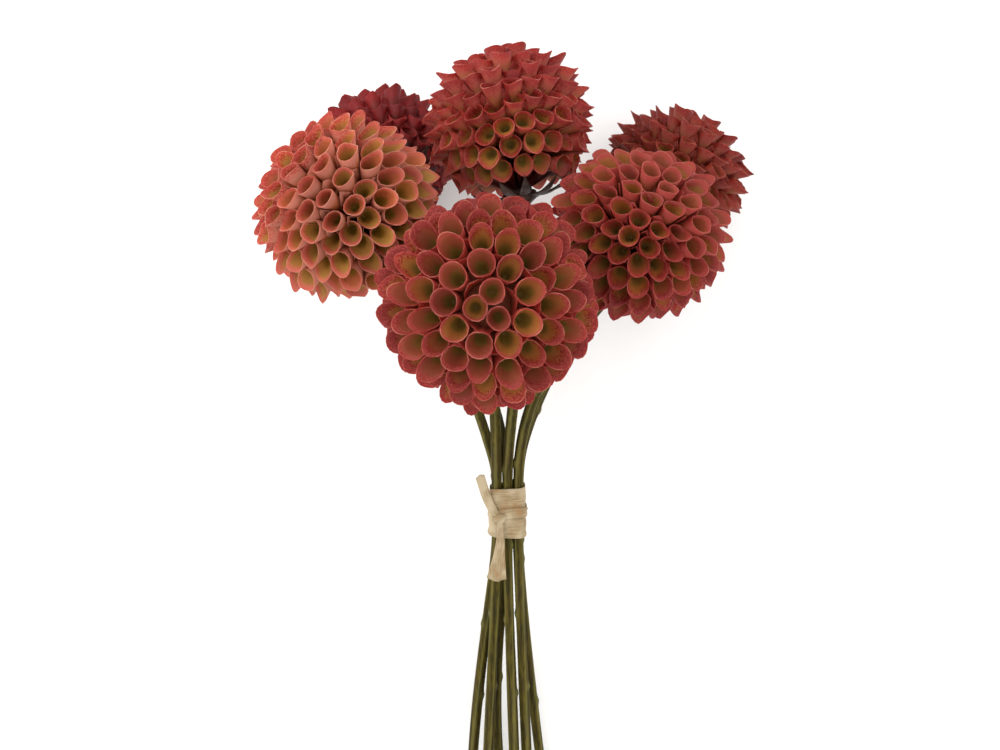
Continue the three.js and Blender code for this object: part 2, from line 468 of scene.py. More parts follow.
# Two waves of a row, as heights in radii, and the spread of each chance difference.
LONG_WAVE = 0.045
SHORT_WAVE = 0.03
TURN_CHANCE = 0.04
LIFT_CHANCE = 0.01
SIZE_CHANCE = 0.03
HEIGHT_CHANCE = 0.035
RISE_CHANCE = 0.22


def petals_in_row(row):
    """As many petals as fit round the bloom at the row's angle from the pole."""
    return round(2 * math.pi * math.sin(FIRST_ROW + row * ROW_STEP) / PETAL_PITCH)


class Row:
    """The shape numbers of one row of petals, and the chance differences of each petal in it."""

    def __init__(self, bloom, row, chance):
        self.bloom = bloom
        self.row = row
        self.count = petals_in_row(row)
        self.angle = FIRST_ROW + row * ROW_STEP
        size = RIM * bloom.radius
        flatness = CROWN_FLATNESS if self.angle < math.pi / 2 else 1.0
        self.rim = size * np.array([math.sin(self.angle), flatness * math.cos(self.angle)])
        if row < CENTRE_ROWS:
            seat = PEG_TOP + CENTRE_SEAT_STEP * (CENTRE_ROWS - 1 - row)
            self.base = np.array([0.0, seat * bloom.radius])
        else:
            seat = LOWEST_SEAT + SEAT_STEP * (ROWS - 1 - row)
            self.base = np.array([PEG_RADIUS, seat * bloom.radius])
        climb = math.pi / 2 - self.angle + LEAN
        self.ahead = np.array([math.cos(climb), math.sin(climb)])
        self.half_width = self.rim[0] * math.sin(math.pi / self.count)
        self.half_height = min(0.5 * size * ROW_STEP, CUP_TALLNESS * self.half_width)

        pitch = 2 * math.pi / self.count
        first = chance.random()
        shifted = np.arange(self.count) + first + chance.normal(0, TURN_CHANCE, self.count)
        self.turn = pitch * shifted

        # The waves start elsewhere in each bloom, and a little further round in each row.
        phase = 2.4 * BLOOM_NAMES.index(bloom.name) + 0.5 * row
        wave = LONG_WAVE * np.sin(2 * self.turn + phase) + SHORT_WAVE * np.sin(5 * self.turn - phase)
        wave = wave * math.sin(self.angle)
        self.lift = bloom.radius * (wave + chance.normal(0, LIFT_CHANCE, self.count))
        self.length = 1 + chance.normal(0, SIZE_CHANCE, self.count)
        self.width = CUP_WIDTH + chance.normal(0, SIZE_CHANCE, self.count)
        self.height = 1.0 + chance.normal(0, HEIGHT_CHANCE, self.count)
        slant = math.sin(math.pi * (row + 1) / (ROWS + 1.5))
        self.rise = LIP_RISE * slant * chance.normal(1, RISE_CHANCE, self.count)
        self.tone = chance.random(self.count)
        self.hue = chance.random(self.count)
        self.phase = 2 * math.pi * chance.random(self.count)

    def quill(self, share, tip):
        """The middle line at shares of its length, and the poleward direction square to it.

        The line is a parabola from the base to the tip: (1 - u)^2 base + 2 u (1 - u) bend + u^2 tip. The
        bend lies half the reach straight below the tip, so the line ends in the direction ahead. Past the
        tip it goes on straight.
        """
        reach = np.linalg.norm(tip - self.base, axis=-1, keepdims=True)
        bend = tip - 0.5 * reach * self.ahead
        u = np.minimum(share, 1.0)[..., None]
        line = (1 - u) ** 2 * self.base + 2 * u * (1 - u) * bend + u**2 * tip
        line = line + (share[..., None] - u) * reach * self.ahead
        along = unit((1 - u) * (bend - self.base) + u * (tip - bend))
        return line, np.stack([-along[..., 1], along[..., 0]], -1)


print("petals in the rows", [petals_in_row(row) for row in range(ROWS)])

# %% [markdown]
# ## Petals
# A petal is a quill: a narrow tube at the peg that widens into a cup and bends until it points nearly
# straight out. The cup is cut off at a slant, so it opens towards the bloom's pole like a spoon, most of all
# on the middle rows. Its outer lip runs out, which makes the bloom spiky from the side, and its inner lip
# stops short. A wobble keeps the lip from being a true oval. On the lowest rows, and all over the dark bloom
# at the back, the outer lip ends in a small point.
#
# A whole ring is worked out at once, as an array over petals, stations along the quill and angles round it.
# The stations go up the outside, over the lip and down the inside to the floor of the bowl, so the wall has
# a real thickness. A petal that would reach through the table bends on it.

# %% Petal rings
ROUND_CUP = 14

# Stations as shares of the quill's length: up the outside, down the inside, and how the bowl narrows there.
OUTSIDE = np.array([0.0, 0.55, 1.0])
INSIDE = np.array([1.0, 0.93, 0.86, 0.7])
NARROWED = np.array([1.0, 0.92, 0.68, 0.4])
WALL = 0.22 * MM

# The lip: shares of the length that its outer side, its point and its two wobbles add.
OUTER_LIP = 0.062
POINT = 0.045
BLUNT = 0.004
POINT_SPREAD = 0.4
POINTED_ROW = 6
OVAL_WOBBLE = 0.015
THREE_WOBBLE = 0.01
WOBBLE_WIDTH = 1.6

# Columns crowd towards the outer lip, where the curve is sharpest.
CROWDING = 0.3
TABLE_GAP = 0.1 * MM


def flare(share):
    """How wide the tube is at a share of its length: a cone, a little wider than a point at the peg."""
    return 0.1 + 0.9 * share**1.15


def off_the_table(points):
    """The points, raised to just above the table where they would lie under it."""
    points[..., 2] = np.maximum(points[..., 2], TABLE_GAP)
    return points


def petal_ring(shape, sprayed):
    """The petals of one row: points, values, and that the rows aren't looped.

    A section is an oval square to the quill. Its width goes with the sine of the angle round it and its
    height with the cosine, and both go with the flare, less the wall on the inside.
    """
    bloom = shape.bloom
    per_petal = (shape.count, 1, 1)
    even = 2 * math.pi * np.arange(ROUND_CUP)[None, None, :] / ROUND_CUP
    around = even - CROWDING * np.sin(even)
    outward = np.cos(around)
    station = np.concatenate([OUTSIDE, INSIDE])[None, :, None]
    inner = np.repeat([0.0, 1.0], [len(OUTSIDE), len(INSIDE)])[None, :, None]

    # The lip: far out on the side away from the pole, where some have a point, and short on the other.
    spoon = (0.5 + 0.5 * outward) ** 1.2
    wrapped = (around + math.pi) % (2 * math.pi) - math.pi
    pointed = shape.row >= POINTED_ROW or bloom.name == "left_back"
    point = np.exp(-((wrapped / POINT_SPREAD) ** 2)) * (POINT if pointed else BLUNT)
    phase = shape.phase.reshape(per_petal)
    wobble = OVAL_WOBBLE * np.sin(2 * around + phase)
    wobble = wobble + THREE_WOBBLE * np.sin(3 * around - 2 * phase)
    share = station * (1 + OUTER_LIP - shape.rise.reshape(per_petal) * (1 - spoon) + point + wobble)
    tip = (shape.rim * shape.length.reshape(per_petal))[..., None, :]
    line, poleward = shape.quill(share, tip)

    wide = shape.half_width * shape.width.reshape(per_petal)
    high = shape.half_height * shape.height.reshape(per_petal) * (0.95 + 0.05 * outward)
    narrowed = np.concatenate([np.ones(len(OUTSIDE)), NARROWED])[None, :, None]
    wide = wide * (1 + WOBBLE_WIDTH * wobble)
    high = high * (1 - WOBBLE_WIDTH * wobble)
    across = (wide * flare(share) - inner * WALL) * narrowed * np.sin(around)
    down = (high * flare(share) - inner * WALL) * narrowed * outward
    down = down - shape.lift.reshape(per_petal) * share
    path = line - down[..., None] * poleward
    turn = np.broadcast_to(shape.turn.reshape(per_petal), across.shape)
    points = off_the_table(bloom.place(path[..., 0], path[..., 1], turn, across))
    values = {
        "depth": 1 - station,
        "inner": inner,
        "tone": shape.tone.reshape(per_petal),
        "hue": shape.hue.reshape(per_petal),
        "spray": sprayed(points),
    }
    return points, values, False


# %% [markdown]
# ## Skins between the petals
# The petals of a ring are one moulding: a thin corrugated skin runs behind the cups and joins them. From
# the side and from below it is the skin that shows between the cups, with a rib under each petal and a dip
# towards the pole between two. It is a closed band: up its outer face, over the scalloped edge and down its
# inner face. It reaches nearly to the lips between two petals and stays low behind each, to keep out of the
# next row's cups. Only the lowest row's skin, which has no row below it, is high all round.

# %% Skins between the petals
SKIN_COLUMNS = 6
SKIN_SHARES = np.array([0.35, 0.75, 1.0])
SKIN_WALL = 0.16 * MM

# Shares of the quill's length: the edge between two petals, and what is left of it behind one.
SKIN_EDGE = 0.94
EDGE_BEHIND_PETAL = 0.62

# The dip between two petals, in half heights of a petal: the first row's bulges out instead.
FIRST_DIP = -0.15
DIP_STEP = 0.35
DEEPEST_DIP = 0.6


def skin_ring(shape, sprayed):
    """The skin behind one row: points, values, and that the rows are looped.

    It lies below the quill by the petal's own half height, and dips halfway between two petals, where
    beside is 1. Beside is the squared sine of the way from one petal to the next.
    """
    bloom = shape.bloom
    column = np.arange(shape.count * SKIN_COLUMNS)[::-1] / SKIN_COLUMNS
    beside = np.sin(math.pi * column)[None, None, :] ** 2

    def follow(numbers, full_turn=0.0):
        """Numbers of the petals, read off at the skin's columns."""
        closed = np.append(numbers, numbers[0] + full_turn)
        return np.interp(column, np.arange(shape.count + 1), closed)[None, None, :]

    behind = 1.0 if shape.row == ROWS - 1 else EDGE_BEHIND_PETAL
    top = SKIN_EDGE * (behind + (1 - behind) * beside**0.4)
    up = np.concatenate([SKIN_SHARES, SKIN_SHARES[::-1]])[None, :, None]
    share = top * up
    inner = np.repeat([0.0, 1.0], len(SKIN_SHARES))[None, :, None]
    line, poleward = shape.quill(share, shape.rim * follow(shape.length)[..., None])
    dip = min(DEEPEST_DIP, DIP_STEP * shape.row + FIRST_DIP)
    high = shape.half_height * follow(shape.height) * flare(share) * (1.03 - dip * beside**3.5)
    down = high + SKIN_WALL * (1.2 - inner) - follow(shape.lift) * share
    path = line - down[..., None] * poleward
    turn = np.broadcast_to(follow(shape.turn, 2 * math.pi), down.shape)
    points = off_the_table(bloom.place(path[..., 0], path[..., 1], turn))
    values = {"depth": 1 - up, "inner": 0.0, "tone": 0.5, "hue": 0.5, "spray": sprayed(points)}
    return points, values, True


# %% [markdown]
# ## The floor of the centre
# The three innermost rows are one moulding. Between its cups the eye meets a floor that joins them, a little
# below the bowls, and not the peg. The floor is a thin dome turned round the pole. Its profile runs outwards
# along the underside and back along the top.

# %% Floor of the centre
FLOOR_REACH = np.array([0.03, 0.12, 0.22, 0.3, 0.36])
FLOOR_COLUMNS = 36
FLOOR_HEIGHT = 0.55
FLOOR_FALL = 1.35
FLOOR_WALL = 0.04
FLOOR_RIPPLE = 0.04


def centre_floor(bloom, sprayed):
    """A thin dome whose height falls with the square of the distance from the pole, with nine ripples."""
    reach = np.concatenate([FLOOR_REACH, FLOOR_REACH[::-1]])[None, :, None]
    under = np.repeat([FLOOR_WALL, 0.0], len(FLOOR_REACH))[None, :, None]
    turn = -2 * math.pi * np.arange(FLOOR_COLUMNS)[None, None, :] / FLOOR_COLUMNS
    height = FLOOR_HEIGHT - FLOOR_FALL * reach**2 - under + FLOOR_RIPPLE * reach * np.cos(9 * turn)
    radial = np.broadcast_to(reach, height.shape)
    turn = np.broadcast_to(turn, height.shape)
    points = bloom.place(bloom.radius * radial, bloom.radius * height, turn)
    values = {"depth": 0.35, "inner": 0.0, "tone": 0.5, "hue": 0.5, "spray": sprayed(points)}
    return points, values, False


# %% [markdown]
# ## Spray
# The red was sprayed on, and each bloom caught it mostly from one side. The front bloom, seen from its pole,
# is red all round its edge, and the left one only on its upper left. So each bloom has a direction that the
# spray came from and the share that a petal square to it caught.

# %% Where the spray came from
SPRAYED_FROM = {
    "front": ((0.0, 0.08, -1.0), 0.75),
    "right": ((-0.4, -0.5, -0.3), 0.4),
    "right_back": ((0.3, 0.5, -0.3), 0.5),
    "left": ((-0.65, 0.6, -0.3), 0.2),
    "top": ((0.1, 0.9, 0.2), 0.55),
    "left_back": ((0.0, 1.0, 0.2), 0.7),
}
SPRAY_CONTRAST = 0.6


def spray_on(bloom):
    """A function that gives the sprayed share, 0 to 1, at points of the bloom."""
    source, base = SPRAYED_FROM[bloom.name]

    def sprayed(points):
        facing = unit(points - bloom.centre) @ unit(source)
        return np.clip(base + SPRAY_CONTRAST * facing, 0, 1)

    return sprayed


# %% [markdown]
# ## Six blooms
# The centre of a bloom is one moulding of its three innermost rows and their floor, and each of the other
# rows is a piece of its own. A seed for each bloom gives it its own chances, the same at every run.

# %% Build the blooms
BLOOM_SEED = 41

made = 0
for number, bloom in enumerate(blooms.values()):
    chance = np.random.default_rng(BLOOM_SEED + number)
    sprayed = spray_on(bloom)
    groups = [(range(CENTRE_ROWS), f"{bloom.name}_petal_centre")]
    for row in range(CENTRE_ROWS, ROWS):
        groups.append(((row,), f"{bloom.name}_petal_row_{row - CENTRE_ROWS + 1}"))
    for rows, node in groups:
        shapes = [Row(bloom, row, chance) for row in rows]
        parts = [petal_ring(shape, sprayed) for shape in shapes]
        parts += [skin_ring(shape, sprayed) for shape in shapes]
        if len(shapes) == CENTRE_ROWS:
            parts.append(centre_floor(bloom, sprayed))
        material = petal_materials[bloom.name]
        make_piece(f"{node}_petals", parts, material, f"petals_{bloom.name}", node)
        made += sum(shape.count for shape in shapes)
print(made, "petals")

# %% [markdown]
# ## The finish of the calyx
# The calyx is the same soft plastic in a dull brown, and cloudy. Towards the tips of the sepals it turns a
# darker maroon, partly its own colour and partly painted shade for the deep shade under the blooms. Its
# sheen is kept low, because a dark surface under a white studio otherwise turns grey.

# %% Calyx finish
calyx_material, calyx_shader, calyx_place = new_material("calyx", Specular_IOR_Level=0.12)
calyx_cloud = calyx_place.noise(350, 4.0)
calyx_tone = attribute(calyx_place, "tip")
calyx_colour = calyx_cloud.between(0.35, 0.68).mix("#2b1d1a", "#5a463d")
# Painted shade, in part: the sepal tips turn a dark maroon, the calyx's own colour darkened for the shade
# under the blooms.
connect((calyx_tone * 0.6).mix(calyx_colour, "#3d2220"), calyx_shader.inputs["Base Color"])
connect(0.34 + 0.25 * calyx_cloud, calyx_shader.inputs["Roughness"])
bump(calyx_cloud, 0.4, 0.3 * MM, calyx_shader)

# %% [markdown]
# ## The hub
# Under each bloom a hub with soft ribs sits on the stem and carries the rings on its peg. It is a profile
# turned round the pole, from the neck up to the top of the peg. The ribs are strongest where it is widest.

# %% Hub
HUB_COLUMNS = 40
HUB_RIBS = 8
RIB_HEIGHT = 0.09
WIDEST = 0.2


def hub(bloom):
    """The ribbed hub and its peg: a profile of radius and height, turned round the pole."""
    size = bloom.radius
    profile = np.array(
        [
            (2.1 * MM, NECK_END * size),
            (2.6 * MM, -1.0 * size),
            (0.12 * size, -0.965 * size),
            (0.185 * size, -0.91 * size),
            (WIDEST * size, -0.875 * size),
            (0.19 * size, -0.845 * size),
            (0.13 * size, -0.815 * size),
            (PEG_RADIUS, -0.8 * size),
            (PEG_RADIUS, -0.28 * size),
        ]
    )
    turn = -2 * math.pi * np.arange(HUB_COLUMNS)[None, None, :] / HUB_COLUMNS
    radial = profile[None, :, None, 0]
    ribbed = (radial / size).clip(0, WIDEST) / WIDEST
    radial = radial * (1 + RIB_HEIGHT * ribbed**3 * np.cos(HUB_RIBS * turn))
    height = np.broadcast_to(profile[None, :, None, 1], radial.shape)
    points = bloom.place(radial, height, np.broadcast_to(turn, radial.shape))
    return points, {"tip": 0.0}, False


# %% [markdown]
# ## Sepals
# Narrow pointed sepals stand off the hub like a star and lie loosely under the bloom. Each is a flattened
# tube: its middle line runs out from the hub and lifts towards the petals, and its width swells and then
# narrows to a point. Chance makes each longer or shorter, and bows and curls it.

# %% Sepals
SEPALS = 11
SEPAL_ROWS = 9
SEPAL_COLUMNS = 6

# In radii of the bloom: where the sepals leave the hub, their length and half width, how far the tip lifts,
# and how far they hang and bow.
SEPAL_START = 0.16
SEPAL_HEIGHT = -0.885
SEPAL_LENGTH = 0.42
SEPAL_WIDTH = 0.055
SEPAL_LIFT = 0.12
SEPAL_CURL = 0.03
SEPAL_BOW = 0.035
SEPAL_THICKNESS = 0.55 * MM


def sepals(bloom, chance):
    """Tubes along t from 0 to 1: the width goes with 0.9 + 1.8 t - 2.2 t^2 until it closes at the tip."""
    per_sepal = (SEPALS, 1, 1)
    t = np.linspace(0, 1, SEPAL_ROWS)[None, :, None]
    around = -2 * math.pi * np.arange(SEPAL_COLUMNS)[None, None, :] / SEPAL_COLUMNS
    size = bloom.radius
    long = SEPAL_LENGTH * size * (1 + chance.normal(0, 0.12, per_sepal))
    curl = SEPAL_CURL + chance.normal(0, SEPAL_CURL, per_sepal)
    bow = size * chance.normal(0, SEPAL_BOW, per_sepal)
    wide = SEPAL_WIDTH * size * (0.9 + 1.8 * t - 2.2 * t**2) * (1 - t**4) + 0.1 * MM
    thick = SEPAL_THICKNESS * (1 - 0.6 * t)
    radial = SEPAL_START * size + long * t
    height = size * (SEPAL_HEIGHT - curl * np.sin(math.pi * t) + SEPAL_LIFT * t**2)
    height = height + thick * np.sin(around)
    sideways = wide * np.cos(around) + bow * t**2
    turn = 2 * math.pi * (np.arange(SEPALS).reshape(per_sepal) + chance.random()) / SEPALS
    radial = np.broadcast_to(radial, sideways.shape)
    height = np.broadcast_to(height, sideways.shape)
    points = bloom.place(radial, height, np.broadcast_to(turn, sideways.shape), sideways)
    return off_the_table(points), {"tip": t}, False


SEPAL_SEED = 7

for number, bloom in enumerate(blooms.values()):
    chance = np.random.default_rng(SEPAL_SEED + number)
    parts = [hub(bloom), sepals(bloom, chance)]
    make_piece(f"{bloom.name}_calyx", parts, calyx_material, "calyx", f"{bloom.name}_receptacle")
print(len(blooms), "calyxes with", SEPALS, "sepals each")

# %% [markdown]
# ## Stem lines
# A stem is green plastic over a wire. Its centre line is read off the construction: the corners of its
# surface lie in rings, and the middle of each ring is a point of the line. Corners of one ring are closer
# together than the reach below, and rings are farther apart. A smooth curve through the points takes their
# place.

# %% Stem centre lines
RING_REACH = 4.5 * MM


def stem_line(name):
    """The middles of the stem's rings of corners, in order from the cut end to the bloom."""
    corners = node_points(name)
    apart = np.linalg.norm(corners[:, None] - corners[None], axis=-1)
    near = apart < RING_REACH
    middles = np.unique((near @ corners / near.sum(1)[:, None]).round(6), axis=0)
    order = [int(middles[:, 1].argmin())]
    left = set(range(len(middles))) - set(order)
    while left:
        here = middles[order[-1]]
        order.append(min(left, key=lambda i: np.linalg.norm(middles[i] - here)))
        left.remove(order[-1])
    return middles[order]


def smooth(line, count):
    """A curve through the points of a line: between two points it leans on the ones before and after."""
    padded = np.concatenate([2 * line[:1] - line[1:2], line, 2 * line[-1:] - line[-2:-1]])
    t = np.linspace(0, len(line) - 1, count)
    first = np.minimum(t.astype(int), len(line) - 2)
    f = (t - first)[:, None]
    a, b, c, d = (padded[first + k] for k in range(4))
    bend = (2 * a - 5 * b + 4 * c - d) * f**2 + (3 * b - a - 3 * c + d) * f**3
    return 0.5 * (2 * b + (c - a) * f + bend)


lines = {name: stem_line(f"{name}_stem") for name in BLOOM_NAMES}
for name, line in lines.items():
    steps = np.linalg.norm(np.diff(line, axis=0), axis=1)
    print(name, "stem", len(line), "rings", round(steps.sum() / MM), "mm long")

# %% [markdown]
# ## The finish of a stem
# The plastic is olive with brown patches and fine streaks along the stem. The grooves are darkened as
# painted shade and the ridges lightened as a painted highlight, the leaf scars are paler, and the cut end
# shows the pale inside.
# Groove, scar and cut are attributes, worked out together with the shape.

# %% Stem finish
stem_material, stem_shader, stem_place = new_material("stem", Specular_IOR_Level=0.1)
stem_streak = stem_place.noise(1100, 3.0, 0.6, (1.0, 0.03, 1.0))
stem_cloud = stem_place.noise(90, 3.0)
stem_cut = attribute(stem_place, "cut")
stem_scar = attribute(stem_place, "scar")
stem_groove = attribute(stem_place, "groove")
stem_colour = stem_streak.between(0.3, 0.7).mix("#2e290c", "#544916")
stem_colour = (stem_cloud.between(0.45, 0.7) * 0.5).mix(stem_colour, "#403018")
# Painted highlight: the ridges between the grooves are lightened to a pale olive.
stem_colour = (stem_groove.between(0.25, 0.0) * 0.4).mix(stem_colour, "#767140")
# Painted shade: the grooves are darkened nearly to black.
stem_colour = (stem_groove.between(0.3, 1.0) * 0.65).mix(stem_colour, "#1a1706")
stem_colour = (stem_scar * 0.55).mix(stem_colour, "#777443")
connect(stem_cut.mix(stem_colour, "#9a9263"), stem_shader.inputs["Base Color"])
connect(0.5 + 0.25 * stem_streak, stem_shader.inputs["Roughness"])
bump(stem_streak, 0.35, 0.2 * MM, stem_shader)

# %% [markdown]
# ## Stems
# The moulded skin of a stem has shallow grooves along it and small leaf scars, nubs that stand out to one
# side and then the other. The surface is a tube round the curve whose radius carries both, so that they also
# show in its outline. A bevelled curve would be quicker but stays perfectly round.

# %% Stem surfaces
STEM_RADIUS = 1.8 * MM
STEM_RINGS = 230
STEM_COLUMNS = 12
GROOVES = 4
GROOVE_DEPTH = 0.1
GROOVE_TWIST = 25 * MM
SCAR_STEP = 27 * MM
SCAR_HEIGHT = 0.55 * MM
SCAR_LENGTH = 1.3 * MM
SCAR_WIDTH = 0.6
CUT_BEVEL = 0.8
STEM_SEED = 90


def stem_tube(line, chance):
    """A tube round a smooth line. Its radius dips with a squared cosine and swells in bell-shaped scars."""
    curve = smooth(line, STEM_RINGS)
    tangent = unit(np.gradient(curve, axis=0))
    side = unit(np.cross(tangent, (0.0, 0.0, 1.0)) + 1e-9)
    top = np.cross(side, tangent)
    run = np.concatenate([[0], np.linalg.norm(np.diff(curve, axis=0), axis=1).cumsum()])[:, None]
    around = 2 * math.pi * np.arange(STEM_COLUMNS)[None, :] / STEM_COLUMNS
    groove = (0.5 + 0.5 * np.cos(GROOVES * around + run / GROOVE_TWIST + chance.random() * 6)) ** 2
    radius = STEM_RADIUS * (1.03 - GROOVE_DEPTH * groove + 0.02 * np.sin(run / (9 * MM)))
    places = np.arange(chance.uniform(0.5, 1.0) * SCAR_STEP, run[-1, 0], SCAR_STEP)
    scar = np.zeros_like(radius)
    for number, place in enumerate(places):
        facing = math.pi * (number % 2) + chance.normal(0, 0.5)
        turned = (around - facing + math.pi) % (2 * math.pi) - math.pi
        scar += np.exp(-(((run - place) / SCAR_LENGTH) ** 2) - (turned / SCAR_WIDTH) ** 2)
    radius = radius + SCAR_HEIGHT * scar
    radius[0] *= CUT_BEVEL
    radius[-1] *= CUT_BEVEL
    cut = np.zeros_like(radius)
    cut[0] = 1.0
    ring = np.cos(around)[..., None] * side[:, None] + np.sin(around)[..., None] * top[:, None]
    points = curve[:, None] + radius[..., None] * ring
    values = {"cut": cut, "scar": scar.clip(0, 1), "groove": groove}
    return off_the_table(points)[None], values, False


for number, name in enumerate(BLOOM_NAMES):
    tube = stem_tube(lines[name], np.random.default_rng(STEM_SEED + number))
    make_piece(f"{name}_stem_skin", [tube], stem_material, "stem", f"{name}_stem")
print(len(lines), "stems,", 2 * STEM_RADIUS / MM, "mm thick")

# %% [markdown]
# ## The finish of the raffia
# The strip is dried palm leaf, flat, pale and ribbed along its fibres. Two values let the material follow
# it: fibre, the place across the strip, and run, the place along it, both in millimetres. Noise that
# is read close together across the strip and far apart along it gives streaks.

# %% Raffia finish
raffia_material, raffia_shader, raffia_place = new_material("raffia", Roughness=0.75)
fibre = attribute(raffia_place, "fibre")
run_along = attribute(raffia_place, "run")
strip_place = fibre.node("ShaderNodeCombineXYZ", {}, {0: fibre, 1: run_along * 0.06, 2: 0.0})
raffia_streak = strip_place.noise(2.4, 4.0, 0.65)
raffia_cloud = raffia_place.noise(140, 2.0)
raffia_colour = raffia_streak.between(0.28, 0.72).mix("#7b6540", "#a99675")
raffia_colour = raffia_cloud.between(0.55, 0.35).mix(raffia_colour, "#ae9d7e")
raffia_colour = (raffia_cloud.between(0.54, 0.68) * 0.7).mix(raffia_colour, "#8c683f")
connect(raffia_colour, raffia_shader.inputs["Base Color"])
connect(0.6 + 0.3 * raffia_streak, raffia_shader.inputs["Roughness"])
bump(raffia_streak, 0.5, 0.3 * MM, raffia_shader)

# %% [markdown]
# ## A ribbon
# The tie has its own frame: x across the bundle, y along the stems and z out of its front. Every part of it
# but the knot is a ribbon: a middle line, the direction its face looks in, and a width. Its section is a
# flat strip with ridges for the fibres. A free end is frayed, because the fibres tear at different lengths.

# %% Ribbon
TIE_CENTRE = np.array([-2.25, -6.35, 29.97]) * MM
TIE_SLOPE = 0.155
RIBBON_COLUMNS = 9
RIBBON_WALL = 0.3 * MM
FIBRE_RIDGES = 0.09 * MM
FRAYING = 0.7 * MM

tie_y = unit((0.0, 1.0, TIE_SLOPE))
tie_z = unit((0.0, -TIE_SLOPE, 1.0))


def from_tie(points):
    """Points of the tie's frame, in metres, in the frame of the whole bunch."""
    return TIE_CENTRE + points @ np.stack([np.array([1.0, 0.0, 0.0]), tie_y, tie_z])


def ribbon(middle, facing, width, chance, looped):
    """A ribbed strip: over its face from one edge to the other, and back along its rear.

    Each point is the middle line, plus its share of the width sideways, plus its level along the facing.
    """
    ahead = np.roll(middle, -1, axis=0) - np.roll(middle, 1, axis=0)
    if not looped:
        ahead = np.gradient(middle, axis=0)
    sideways = unit(np.cross(ahead, facing))
    run = np.linalg.norm(np.diff(middle, axis=0, append=middle[:1]), axis=1).cumsum()
    share = np.linspace(-0.5, 0.5, RIBBON_COLUMNS)
    ridge = chance.normal(0, FIBRE_RIDGES, RIBBON_COLUMNS)
    face = 0.5 * RIBBON_WALL + ridge - 0.5 * RIBBON_WALL * (2 * share) ** 6
    rear = -0.5 * RIBBON_WALL + ridge + 0.3 * RIBBON_WALL * (2 * share) ** 6
    across = np.concatenate([share, share[::-1]])
    level = np.concatenate([face, rear[::-1]])
    width = np.broadcast_to(width, len(middle))
    points = (
        middle[:, None]
        + (width[:, None] * across)[..., None] * sideways[:, None]
        + level[None, :, None] * facing[:, None]
    )
    if not looped:
        frayed = np.convolve(chance.normal(0, FRAYING, RIBBON_COLUMNS), (0.3, 0.4, 0.3), "same")
        points[-1] += np.concatenate([frayed, frayed[::-1]])[:, None] * unit(ahead[-1])
    values = {"fibre": (width[:, None] * across)[None] / MM, "run": (run / MM)[None, :, None]}
    return from_tie(points)[None], values, looped


# %% [markdown]
# ## Turns, knot and tails
# A turn goes round the bundle, whose section is a rounded rectangle. The hyperbolic tangent of the cosine
# gives the flat sides and the cosine itself the round corners. The knot is a flattened lump with folds, as
# one more band pulled through a tight strip would make it. A tail is a ribbon through four points.

# %% Turns, knot and tails
HALF_X = 3.75 * MM
HALF_Z = 1.875 * MM
ROD_RADIUS = 1.65 * MM
FLAT_SIDES = 4
TURN_COLUMNS = 72
TAIL_ROWS = 26
KNOT_ROWS = 12
KNOT_COLUMNS = 20
KNOT_ENDS = 0.12
KNOT_PLACE = np.array([-2.6, -1.0, 5.2]) * MM
KNOT_HALF_SIZES = np.array([2.1, 1.7, 1.25]) * MM
KNOT_TILT = 0.5


def turn_round(height, clearance, width, chance):
    """A ribbon round the bundle, at a height along the stems that is a function of the angle round it."""
    angle = -2 * math.pi * np.arange(TURN_COLUMNS) / TURN_COLUMNS
    corner = ROD_RADIUS + clearance
    x = HALF_X * np.tanh(FLAT_SIDES * np.cos(angle)) + corner * np.cos(angle)
    z = HALF_Z * np.tanh(FLAT_SIDES * np.sin(angle)) + corner * np.sin(angle)
    middle = np.stack([x, height(angle), z], -1)
    facing = np.stack([np.cos(angle), 0 * angle, np.sin(angle)], -1)
    return ribbon(middle, facing, width, chance, True)


def knot():
    """An oval lump in rings from its left to its right, with three deep and seven shallow folds round it."""
    polar = np.linspace(KNOT_ENDS, math.pi - KNOT_ENDS, KNOT_ROWS)[:, None]
    around = 2 * math.pi * np.arange(KNOT_COLUMNS)[None, :] / KNOT_COLUMNS
    fold = 1 + 0.1 * np.cos(3 * around + 2 * polar) + 0.05 * np.cos(7 * around - polar)
    x = -KNOT_HALF_SIZES[0] * np.cos(polar) + 0 * around
    y = KNOT_HALF_SIZES[1] * fold * np.sin(polar) * np.cos(around)
    z = KNOT_HALF_SIZES[2] * fold * np.sin(polar) * np.sin(around)
    tilted_x = x * math.cos(KNOT_TILT) - y * math.sin(KNOT_TILT)
    tilted_y = x * math.sin(KNOT_TILT) + y * math.cos(KNOT_TILT)
    lump = np.stack([tilted_x, tilted_y, z], -1) + KNOT_PLACE
    values = {"fibre": (y / MM)[None] * 1.5, "run": (x / MM)[None]}
    return from_tie(lump)[None], values, False


def tail(corners, widths, chance):
    """A ribbon through a few points, facing out of the front of the bundle, with its own widths."""
    line = smooth(np.array(corners) * MM, TAIL_ROWS)
    facing = np.broadcast_to((0.0, 0.0, 1.0), line.shape)
    places = np.linspace(0, 1, TAIL_ROWS)
    spread = np.interp(places, np.linspace(0, 1, len(widths)), widths) * MM
    return ribbon(line, facing, spread, chance, False)


# %% [markdown]
# ## The tie
# Three turns go round the bundle: one high, one low that sags in front, and a narrow one across both that
# the knot pulls down. One end of the strip stands up to the left and the other hangs down and fans out. Each
# end's four points and widths are in millimetres of the tie's frame.

# %% Tie
def upper_turn(angle):
    """The height of the high turn: nearly level."""
    return (5.3 + 0.5 * np.sin(angle + 2)) * MM


def lower_turn(angle):
    """The height of the low turn: lower in front than behind."""
    return (-2.9 - 1.9 * np.sin(angle) - 0.6 * np.cos(angle)) * MM


